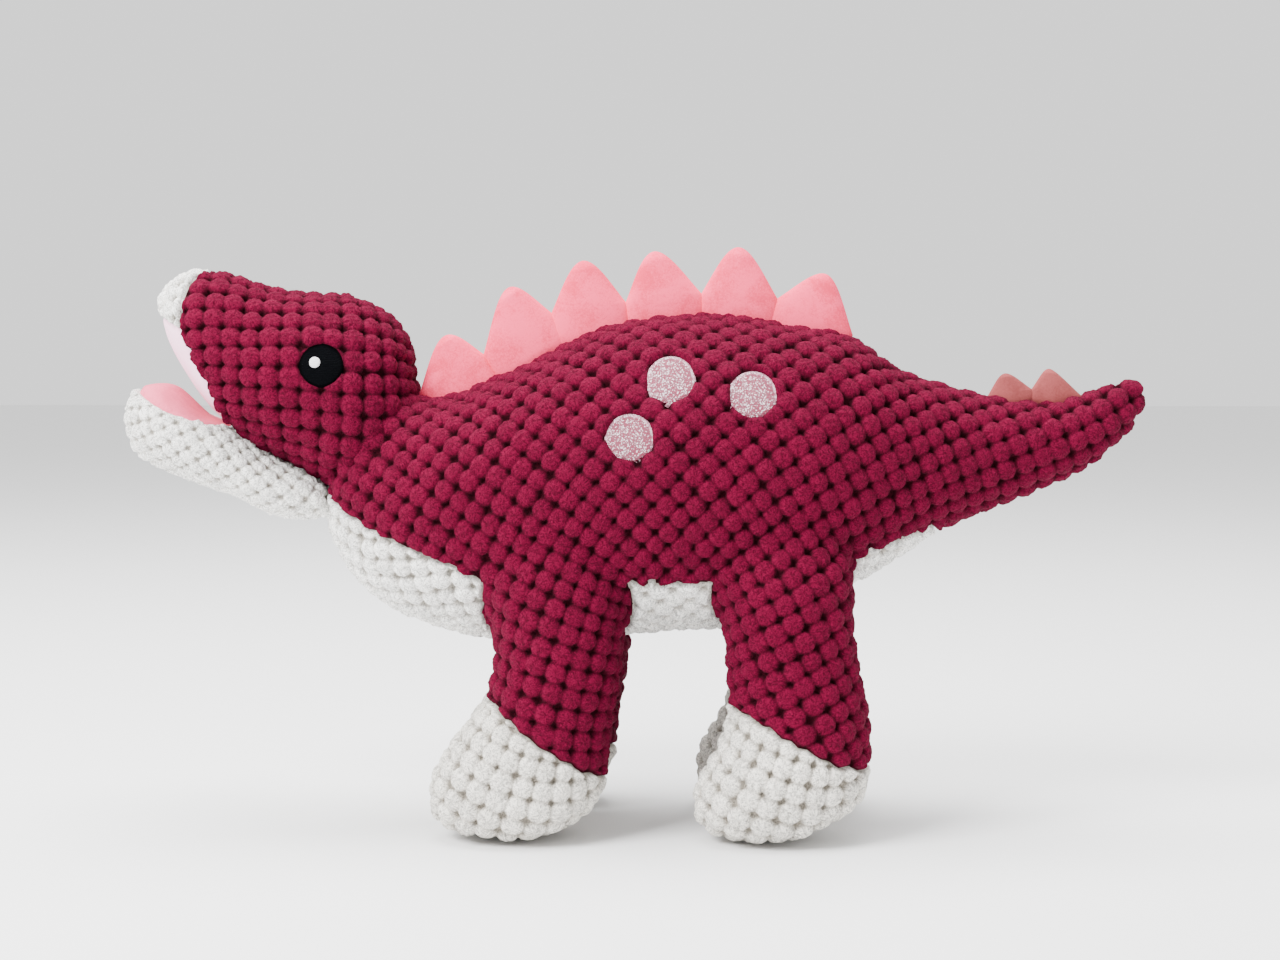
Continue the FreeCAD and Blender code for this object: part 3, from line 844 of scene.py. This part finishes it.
# Short-pile plush: a dense brushed nap, softly mottled where it lies one way or the other.
nap, start, end = group_of(
    "brushed nap",
    [("Place", "NodeSocketVector", (0, 0, 0)), ("Base", "NodeSocketColor", (1, 0.5, 0.6, 1)),
     ("Shaded", "NodeSocketColor", (0.8, 0.3, 0.4, 1))],
    [("Colour", "NodeSocketColor"), ("Height", "NodeSocketFloat")],
)
place = start.outputs["Place"]
brushed = noise_of(nap, place, 85, 3.0, 0.55, 0.8)
hair = noise_of(nap, place, 1500, 3.0, 0.7, 0.3)
lay = worked(nap, "ADD", worked(nap, "MULTIPLY", brushed, 0.6), worked(nap, "MULTIPLY", hair, 0.4))
nap.links.new(
    mixed(nap, "MIX", ranged(nap, lay, 0.38, 0.60), start.outputs["Shaded"], start.outputs["Base"]),
    end.inputs["Colour"],
)
nap.links.new(
    worked(nap, "ADD", worked(nap, "MULTIPLY", brushed, 0.5), worked(nap, "MULTIPLY", hair, 0.6)),
    end.inputs["Height"],
)


def plush_material(name, base, shaded, sheen, sheen_tint, bump=0.35):
    """Smooth short-pile plush of one dye."""
    material = bpy.data.materials.new(name)
    material.use_nodes = True
    tree = material.node_tree
    shader = tree.nodes["Principled BSDF"]
    where = tree.nodes.new("ShaderNodeTexCoord")
    cloth = tree.nodes.new("ShaderNodeGroup")
    cloth.node_tree = nap
    tree.links.new(where.outputs["Object"], cloth.inputs["Place"])
    cloth.inputs["Base"].default_value = (*base, 1)
    cloth.inputs["Shaded"].default_value = (*shaded, 1)
    tree.links.new(cloth.outputs["Colour"], shader.inputs["Base Color"])
    lift = tree.nodes.new("ShaderNodeBump")
    lift.inputs["Strength"].default_value = bump
    lift.inputs["Distance"].default_value = 0.0008
    tree.links.new(cloth.outputs["Height"], lift.inputs["Height"])
    tree.links.new(lift.outputs["Normal"], shader.inputs["Normal"])
    shader.inputs["Roughness"].default_value = 0.85
    shader.inputs["Specular IOR Level"].default_value = 0.15
    shader.inputs["Sheen Weight"].default_value = sheen
    shader.inputs["Sheen Roughness"].default_value = 0.4
    shader.inputs["Sheen Tint"].default_value = (*sheen_tint, 1)
    return material


palate = plush_material(
    "pale mouth plush", (0.98, 0.60, 0.76), (0.96, 0.52, 0.69), 0.05, (1, 0.85, 0.92), 0.2
)
tongue = plush_material(
    "pink tongue plush", (0.78, 0.145, 0.235), (0.66, 0.105, 0.18), 0.05, (1, 0.8, 0.85), 0.25
)
HEAD_NODES["palate_lining_plush"] = (palate, "palate_cloth", ["palate_lining"])
for key, (cloth, slot, nodes) in HEAD_NODES.items():
    piece = head_pieces[key]
    piece.data.materials.append(cloth)
    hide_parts(*nodes)
    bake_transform(piece)

# ======================================================================== lower jaw
# A small stuffed bag under the head: white bobble cloth below and around the tip, a smooth pink
# lining on top that reads as the tongue.  It is sewn to the underside of the head and the throat.

JAW = [
    (-106, 113, 5, 15, 90),
    (-110, 114.6, 7.6, 18, 90),
    (-126, 119, 11.7, 22, 90),
    (-140, 127.6, 13.6, 24, 90),
    (-150, 134, 16.6, 24.4, 90),
    (-160, 138.6, 17.4, 23.4, 90),
    (-170, 141, 15.8, 19, 90),
    (-176.4, 142, 11.6, 12, 90),
    (-179.4, 142, 4, 4.5, 90),
]
jaw = one_bag("jaw_cloth", [soft_tube("jaw", inside_pile(JAW, 1.8), around=44, step=3.0)], 2.2, 4)
rim_height = lambda x: float(np.interp(
    x, [-181, -177, -174, -168.4, -160.6, -150.4, -140.8, -128, -106],
    [154, 153.4, 152.5, 149.5, 145.6, 142, 139.5, 136, 130],
))
for vert in jaw.data.vertices:
    x, y, z = vert.co / MM
    over = z - rim_height(x)
    if over > 0:
        crown = 1 - 0.45 * float(smooth_step(abs(y) / 20)) - 0.8 * float(smooth_step((x + 164) / 17))
        vert.co.z = (rim_height(x) + over * max(crown, 0.1)) * MM
cut_panels(
    jaw,
    [(lambda p: p[2] - rim_height(p[0]),), (lambda p: p[1], lambda p: p[2] < rim_height(p[0]) + 0.5)],
    lambda p: 1 if p[2] > rim_height(p[0]) else (0 if p[1] < 0 else 10),
)
unwrap_panels(jaw)
lay_cloth(jaw, lambda number: ((1, 0, 0), 45), 5.0)
finer(jaw, 2)
jaw_rows = raise_bobbles(jaw.data, 2.1, [], 60, lambda panel: panel != 1, 0.6)
jaw_names = np.array(["jaw_cover_cloth", "tongue_lining_plush"])
jaw_pieces = split_pieces("jaw", jaw.data, jaw_rows, lambda p, panel: jaw_names[panel % 10])
bpy.data.objects.remove(jaw)
for key, cloth, slot, nodes in (
    ("jaw_cover_cloth", white, "white_bobble", ["jaw_cover", "jaw_stuffing"]),
    ("tongue_lining_plush", tongue, "tongue_cloth", ["tongue_lining"]),
):
    piece = jaw_pieces[key]
    piece.data.materials.append(cloth)
    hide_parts(*nodes)
    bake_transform(piece)

# ======================================================================== eyes and flank spots
# Machine embroidery sewn flat through the cloth: black eyes with a small pale glint, and three
# glittering pink spots on each flank with a satin-stitched edge.  The bobbles crowd over the edges.


def stitched_disc(name, skin, middle, side, radius, lift, dome, bare, rings=9, around=56):
    """A round patch of embroidery that lies on the cloth around one place."""
    bm = bmesh.new()
    layer = bm.loops.layers.uv.new("cloth")
    flat = {}
    rows = [[None]]
    reach = list(np.linspace(0, 0.94, rings)) + [1.0, 1.03]
    for r in reach:
        row = []
        for k in range(around if r else 1):
            turn = 2 * math.pi * k / around
            u, v = radius * r * math.cos(turn), radius * r * math.sin(turn)
            start = Vector(((middle[0] + u) * MM, side * 0.2, (middle[1] + v) * MM))
            hit, normal, _, _ = skin.ray_cast(start, Vector((0, -side, 0)))
            high = lift + dome * (1 - min(r, 1) ** 2) - (0.25 if r == 1.0 else 0) - (1.6 if r > 1 else 0)
            high -= 2.0 * float(smooth_step((math.hypot(u, v - bare[0]) - bare[1]) / 1.0))
            point = bm.verts.new(hit + normal * high * MM)
            flat[point] = (u, v)
            row.append(point)
        rows.append(row)
    rows = rows[1:]
    for k in range(around):
        n = (k + 1) % around
        bm.faces.new((rows[0][0], rows[1][k], rows[1][n]))
        for one, two in zip(rows[1:], rows[2:]):
            bm.faces.new((one[k], two[k], two[n], one[n]))
    for face in bm.faces:
        for loop in face.loops:
            loop[layer].uv = flat[loop.vert]
    bm.normal_update()
    if sum(f.normal.y for f in bm.faces) * side < 0:
        bmesh.ops.reverse_faces(bm, faces=bm.faces)
    mesh = bpy.data.meshes.new(name)
    bm.to_mesh(mesh)
    bm.free()
    mesh.shade_smooth()
    piece = bpy.data.objects.new(name, mesh)
    bpy.context.collection.objects.link(piece)
    return piece


# Embroidery: close rows of thread with a ring of satin stitches at the edge.
thread, start, end = group_of(
    "rows of thread",
    [("Cloth", "NodeSocketVector", (0, 0, 0)), ("Radius", "NodeSocketFloat", 8.0)],
    [("Height", "NodeSocketFloat"), ("Edge", "NodeSocketFloat")],
)
split = thread.nodes.new("ShaderNodeSeparateXYZ")
thread.links.new(start.outputs["Cloth"], split.inputs[0])
along, across = split.outputs[0], split.outputs[1]
wobble = noise_of(thread, start.outputs["Cloth"], 1.3, 2.0)
rows_in = worked(thread, "SINE", worked(thread, "MULTIPLY", worked(thread, "ADD", across, wobble), 11.0))
far = worked(
    thread, "SQRT", worked(thread, "ADD", worked(thread, "MULTIPLY", along, along),
                           worked(thread, "MULTIPLY", across, across))
)
turned = worked(thread, "ARCTAN2", across, along)
rows_out = worked(thread, "SINE", worked(thread, "MULTIPLY", turned, 90.0))
inner = worked(thread, "SUBTRACT", start.outputs["Radius"], 1.1)
edge = ranged(thread, worked(thread, "SUBTRACT", far, inner), 0.0, 0.15)
height = worked(
    thread, "ADD", worked(thread, "MULTIPLY", rows_in, worked(thread, "SUBTRACT", 1.0, edge)),
    worked(thread, "MULTIPLY", rows_out, edge),
)
thread.links.new(height, end.inputs["Height"])
thread.links.new(edge, end.inputs["Edge"])


def thread_material(name, fill, rim, rough, radius, bump, gloss, glitter=0.0):
    """Embroidery in one colour of thread, with or without glitter in it; the glitter's glints are painted in
    as near-white flakes.
    """
    material = bpy.data.materials.new(name)
    material.use_nodes = True
    tree = material.node_tree
    shader = tree.nodes["Principled BSDF"]
    cloth = tree.nodes.new("ShaderNodeUVMap")
    cloth.uv_map = "cloth"
    sewn = tree.nodes.new("ShaderNodeGroup")
    sewn.node_tree = thread
    sewn.inputs["Radius"].default_value = radius
    tree.links.new(cloth.outputs["UV"], sewn.inputs["Cloth"])
    colour = mixed(tree, "MIX", sewn.outputs["Edge"], (*fill, 1), (*rim, 1))
    high = worked(tree, "MULTIPLY", sewn.outputs["Height"], 0.4)
    if glitter:
        flakes = tree.nodes.new("ShaderNodeTexVoronoi")
        flakes.inputs["Scale"].default_value = 2.8
        tree.links.new(cloth.outputs["UV"], flakes.inputs["Vector"])
        spark = tree.nodes.new("ShaderNodeSeparateColor")
        tree.links.new(flakes.outputs["Color"], spark.inputs[0])
        dark = ranged(tree, spark.outputs[1], 0.25, 0.75, 0.0, 0.8)
        colour = mixed(tree, "MIX", dark, colour, (0.20, 0.07, 0.10, 1))
        # Painted glints: the brightest flakes are painted near-white in the colour, standing in for light
        # caught by the glitter.
        lit = ranged(tree, spark.outputs[0], 0.66, 0.92, 0.0, glitter)
        colour = mixed(tree, "MIX", lit, colour, (1.0, 0.93, 0.96, 1))
        high = worked(tree, "ADD", high, worked(tree, "MULTIPLY", spark.outputs[2], 1.2))
    tree.links.new(colour, shader.inputs["Base Color"])
    lift = tree.nodes.new("ShaderNodeBump")
    lift.inputs["Strength"].default_value = bump
    lift.inputs["Distance"].default_value = 0.0004
    tree.links.new(high, lift.inputs["Height"])
    tree.links.new(lift.outputs["Normal"], shader.inputs["Normal"])
    shader.inputs["Roughness"].default_value = rough
    shader.inputs["Specular IOR Level"].default_value = gloss
    return material


black_thread = thread_material(
    "black thread", (0.0012, 0.0014, 0.002), (0.0006, 0.0006, 0.001), 0.75, 7.5, 0.8, 0.02
)
pale_thread = thread_material("pale thread", (0.78, 0.78, 0.80), (0.8, 0.8, 0.82), 0.45, 4.0, 0.5, 0.4)
glitter = thread_material(
    "pink glitter thread", (0.25, 0.036, 0.07), (0.60, 0.30, 0.37), 0.4, 8.3, 0.7, 0.25, 0.62
)
for side, word in ((-1, "left"), (1, "right")):
    disc = stitched_disc("eye_patch_" + word, head_skin, EYE[0], side, 7.5, 0.5, 1.0, (0.0, 9.0))
    disc.data.materials.append(black_thread)
    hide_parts("eye_" + word)
    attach(disc, "head")
    glint = stitched_disc(
        "eye_glint_patch_" + word, head_skin, (-106.8, 162.3), side, 1.8, 1.75, 0.3, (0.0, 9.0), 4, 24
    )
    glint.data.materials.append(pale_thread)
    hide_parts("eye_glint_" + word)
    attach(glint, "head")
    for number, (spot, radius) in enumerate(SPOTS, 1):
        disc = stitched_disc(
            "spot_patch_%s_%d" % (word, number), body_skin, spot, side, 8.4, 0.5, 0.6, (1.0, 8.3)
        )
        disc.data.materials.append(glitter)
        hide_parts("spot_%s_%d" % (word, number))
        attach(disc, "torso")

# ======================================================================== back and tail plates
# One zigzag strip of thin pink plush, filled lightly and sewn into the seam along the back, makes
# the six back plates; a short dusty pink strip, darker still with painted shade, makes the two tail
# plates.  Every plate is a flat pillow with a soft round tip.


def plush_plate(name, left, peak, right, thick, tip, sink):
    """A pillow between two valleys (x, z) and a peak, sunk into the seam, all in mm."""
    left, peak, right = (np.array(p, dtype=float) for p in (left, peak, right))
    middle = (left + right) / 2
    base = (right - left) / np.linalg.norm(right - left)
    down = np.array([base[1], -base[0]])
    half = np.linalg.norm(right - left) / 2 + 0.35
    tall = np.linalg.norm(peak - middle)
    heights = np.concatenate([[-sink, -sink * 0.5], tall * np.sin(np.linspace(0, 1, 24) * math.pi / 2)])
    around = 40
    bm = bmesh.new()
    rows = []
    for h in heights:
        v = max(h / tall, 0.0)
        centre = middle + (peak - middle) * v + down * min(h, 0.0) * -1
        wide = (half - tip) * (1 - v) ** 1.35 + tip * math.sqrt(max(1 - v**3.4, 0.0))
        deep = thick / 2 * (1 - 0.3 * v) * min(1.0, math.sqrt(max(1 - v, 0.0)) * 2.4)
        row = []
        for k in range(around):
            turn = 2 * math.pi * k / around
            c, s = math.cos(turn), math.sin(turn)
            s = math.copysign(abs(s) ** 0.9, s)
            x, z = centre + base * wide * c
            row.append(bm.verts.new((x * MM, deep * s * MM, z * MM)))
        rows.append(row)
    for one, two in zip(rows, rows[1:]):
        for k in range(around):
            n = (k + 1) % around
            bm.faces.new((one[k], one[n], two[n], two[k]))
    bm.faces.new(rows[0])
    bm.faces.new(rows[-1])
    bmesh.ops.remove_doubles(bm, verts=bm.verts, dist=1e-5)
    bmesh.ops.recalc_face_normals(bm, faces=bm.faces)
    mesh = bpy.data.meshes.new(name)
    bm.to_mesh(mesh)
    bm.free()
    mesh.shade_smooth()
    piece = bpy.data.objects.new(name, mesh)
    bpy.context.collection.objects.link(piece)
    return piece


pink_plush = plush_material(
    "pink plush", (0.95, 0.072, 0.165), (0.74, 0.036, 0.095), 0.05, (1.0, 0.75, 0.82)
)
# Tail plates: the darker tone is partly the plush's own dusty pink and partly painted shade.
dusty_shaded_plush = plush_material(
    "dusty pink plush with painted shade", (0.26, 0.056, 0.056), (0.20, 0.04, 0.04), 0.04, (1.0, 0.7, 0.72)
)
VALLEYS = [(-75.2, 150.5), (-52.2, 164.8), (-28.2, 179.3), (-2.1, 182.9), (24.4, 186), (50.8, 184.3),
           (77.0, 172.0)]
PEAKS = [(-66.4, 171.6), (-43.8, 188.5), (-17.3, 198), (7.8, 201.2), (37.4, 202.6), (68.1, 193.1)]


def hinge_plate(plate):
    """Apply the plate's transform, so that it stays where it is built."""
    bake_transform(plate)


for number, (one, peak, two) in enumerate(zip(VALLEYS, PEAKS, VALLEYS[1:]), 1):
    plate = plush_plate("plate_plush_%d" % number, one, peak, two, 7.4, 5.8, 16)
    plate.data.materials.append(pink_plush)
    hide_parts("back_plate_%d" % number)
    hinge_plate(plate)
for number, (one, peak, two) in enumerate(
    (((124.5, 150.6), (130.2, 158.6), (139.6, 152.8)), ((139.6, 152.8), (145.6, 160.2), (157, 150.4))), 1
):
    plate = plush_plate("tail_plate_plush_%d" % number, one, peak, two, 5.2, 3.0, 5)
    plate.data.materials.append(dusty_shaded_plush)
    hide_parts("tail_plate_%d" % number)
    hinge_plate(plate)

# ======================================================================== floor, light, camera
# A pale seamless floor, large soft lamps above and in front, and a camera level with the flank.
bpy.ops.object.select_all(action="DESELECT")
bpy.ops.mesh.primitive_plane_add(size=12, location=(0, 0, 0))
floor = bpy.context.active_object
floor.name = "floor"
paper = bpy.data.materials.new("pale paper")
paper.use_nodes = True
paper.node_tree.nodes["Principled BSDF"].inputs["Base Color"].default_value = (0.86, 0.86, 0.86, 1)
paper.node_tree.nodes["Principled BSDF"].inputs["Roughness"].default_value = 0.8
floor.data.materials.append(paper)
world = bpy.data.worlds.new("studio")
world.use_nodes = True
world.node_tree.nodes["Background"].inputs["Color"].default_value = (1, 1, 1, 1)
world.node_tree.nodes["Background"].inputs["Strength"].default_value = 1.35
bpy.context.scene.world = world


def soft_lamp(name, spot, target, size, power):
    """A large square lamp that points at a place."""
    lamp = bpy.data.lights.new(name, "AREA")
    lamp.size = size
    lamp.energy = power
    holder = bpy.data.objects.new(name, lamp)
    bpy.context.collection.objects.link(holder)
    holder.location = spot
    holder.rotation_euler = (Vector(target) - Vector(spot)).to_track_quat("-Z", "Y").to_euler()


soft_lamp("key", (-0.75, -0.75, 0.95), (-0.05, 0, 0.12), 0.6, 44)
soft_lamp("top", (-0.05, 0.1, 1.3), (0, 0, 0.1), 0.9, 44)
camera = bpy.data.cameras.new("camera")
camera.lens = 60
camera.sensor_width = 36
eye = bpy.data.objects.new("camera", camera)
bpy.context.collection.objects.link(eye)
target = Vector((0.0028, 0, 0.121))
around, above, away = math.radians(2.5), math.radians(3.4), 0.752
eye.location = target + away * Vector(
    (math.sin(around) * math.cos(above), -math.cos(around) * math.cos(above), math.sin(above))
)
eye.rotation_euler = (target - eye.location).to_track_quat("-Z", "Y").to_euler()
bpy.context.scene.camera = eye
